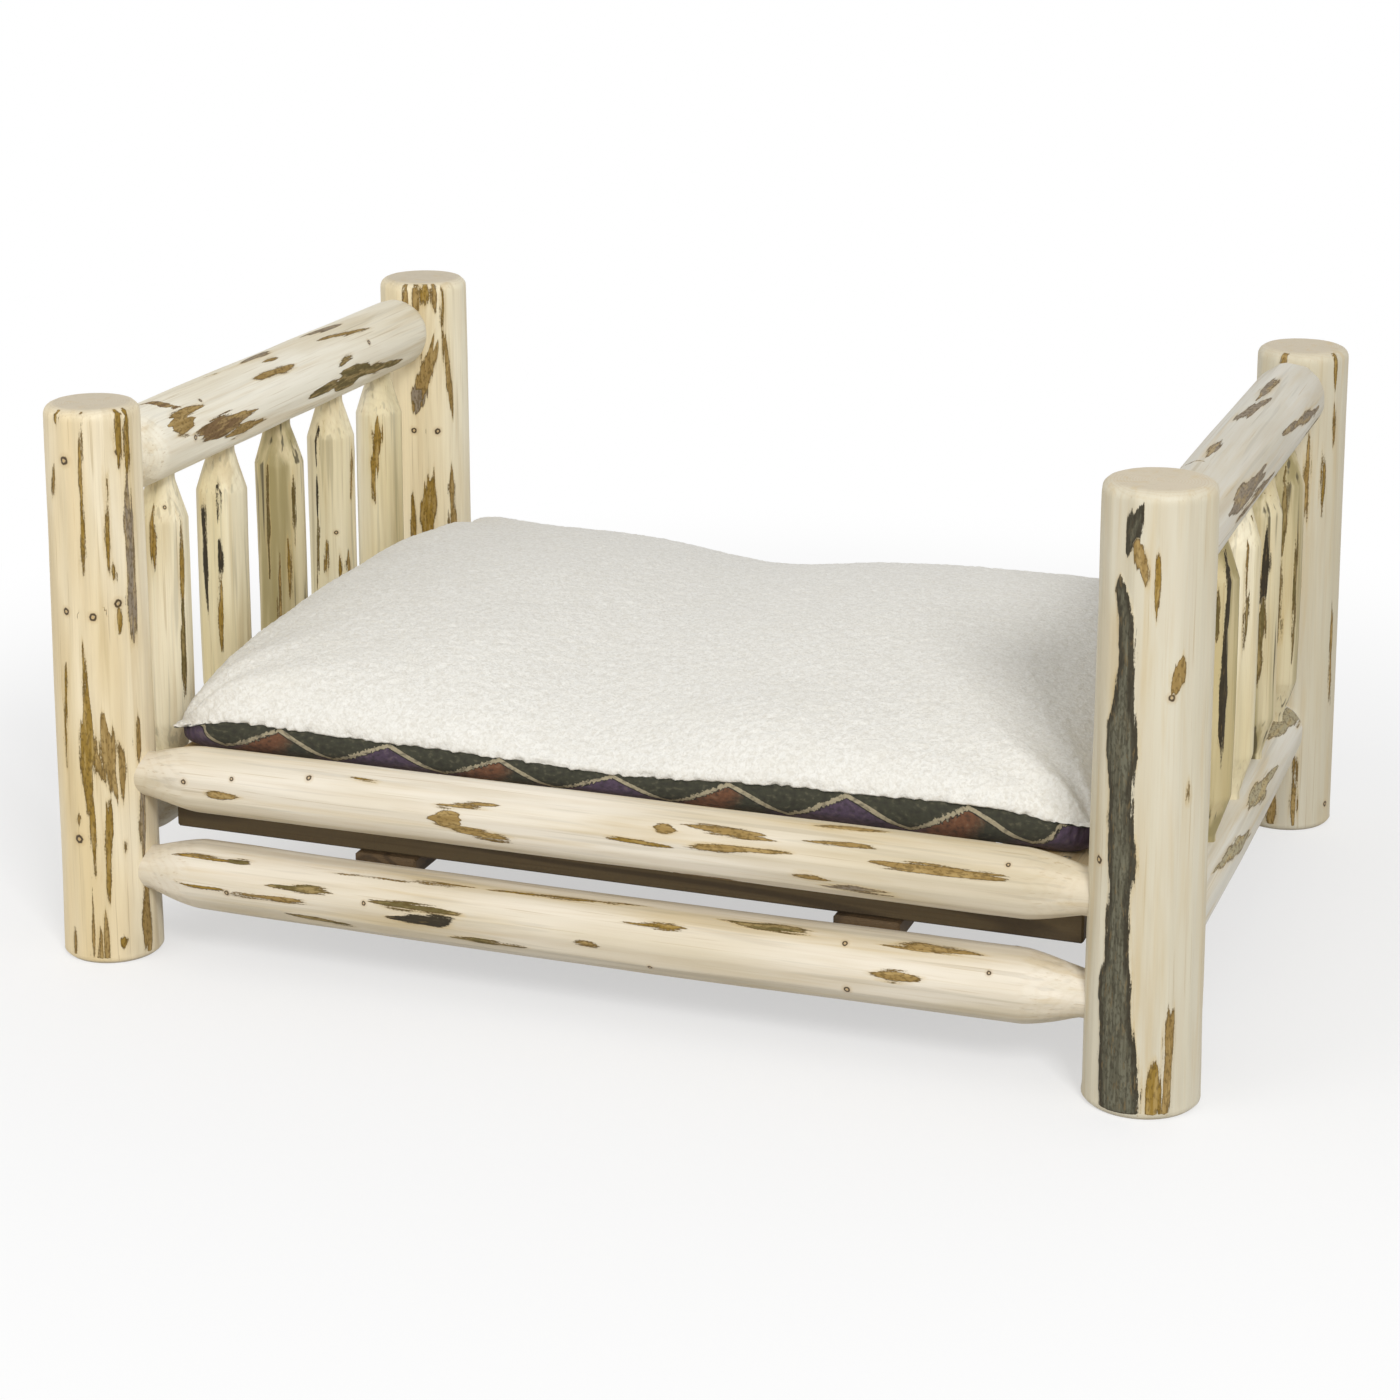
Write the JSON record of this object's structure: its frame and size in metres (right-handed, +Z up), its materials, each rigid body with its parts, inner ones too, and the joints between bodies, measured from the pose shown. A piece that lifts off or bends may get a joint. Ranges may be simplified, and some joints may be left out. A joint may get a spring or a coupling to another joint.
{
  "type": "dog bed",
  "caption": "Rustic dog bed: peeled log posts and rails, spindled headboard and footboard, slatted deck and a loose fleece cushion.",
  "frame": {"origin": "on the floor, in the middle of the four posts", "axes": "+X from the headboard to the footboard, +Y from the front to the back, +Z up"},
  "size_m": [1.145, 0.875, 0.569],
  "materials": {
    "peeled_log": "hand-peeled pine log with remnants of inner bark, clear satin",
    "sawn_board": "plain sawn pine board",
    "screw_steel": "zinc-plated screw",
    "fleece": "off-white curly fleece",
    "print_cloth": "dark printed cotton with a plain zigzag",
    "fibre_fill": "loose polyester fibre"
  },
  "bodies": {
    "bed_frame": {"back_ledger": "sawn_board", "back_ledger_screw_1": "screw_steel", "back_ledger_screw_2": "screw_steel", "back_ledger_screw_3": "screw_steel", "back_ledger_screw_4": "screw_steel", "back_left_post": "peeled_log", "back_lower_rail": "peeled_log", "back_right_post": "peeled_log", "back_upper_rail": "peeled_log", "batten_screw_back_foot": "screw_steel", "batten_screw_back_head": "screw_steel", "batten_screw_front_foot": "screw_steel", "batten_screw_front_head": "screw_steel", "cross_batten_foot": "sawn_board", "cross_batten_head": "sawn_board", "deck_slat_1": "sawn_board", "deck_slat_2": "sawn_board", "deck_slat_3": "sawn_board", "deck_slat_4": "sawn_board", "deck_slat_5": "sawn_board", "deck_slat_6": "sawn_board", "deck_slat_7": "sawn_board", "deck_slat_8": "sawn_board", "deck_slat_9": "sawn_board", "footboard_bottom_rail": "peeled_log", "footboard_spindle_1": "peeled_log", "footboard_spindle_2": "peeled_log", "footboard_spindle_3": "peeled_log", "footboard_spindle_4": "peeled_log", "footboard_spindle_5": "peeled_log", "footboard_top_rail": "peeled_log", "front_ledger": "sawn_board", "front_ledger_screw_1": "screw_steel", "front_ledger_screw_2": "screw_steel", "front_ledger_screw_3": "screw_steel", "front_ledger_screw_4": "screw_steel", "front_left_post": "peeled_log", "front_lower_rail": "peeled_log", "front_right_post": "peeled_log", "front_upper_rail": "peeled_log", "headboard_bottom_rail": "peeled_log", "headboard_spindle_1": "peeled_log", "headboard_spindle_2": "peeled_log", "headboard_spindle_3": "peeled_log", "headboard_spindle_4": "peeled_log", "headboard_spindle_5": "peeled_log", "headboard_top_rail": "peeled_log"},
    "cushion": {"cushion_filling": "fibre_fill", "cushion_fleece_top": "fleece", "cushion_print_base": "print_cloth"}
  },
  "joints": [
    {"name": "cushion_lift", "type": "slide", "parent": "bed_frame", "child": "cushion", "axis": [0, 0, 1], "range_m": [0, 0.4]}
  ]
}
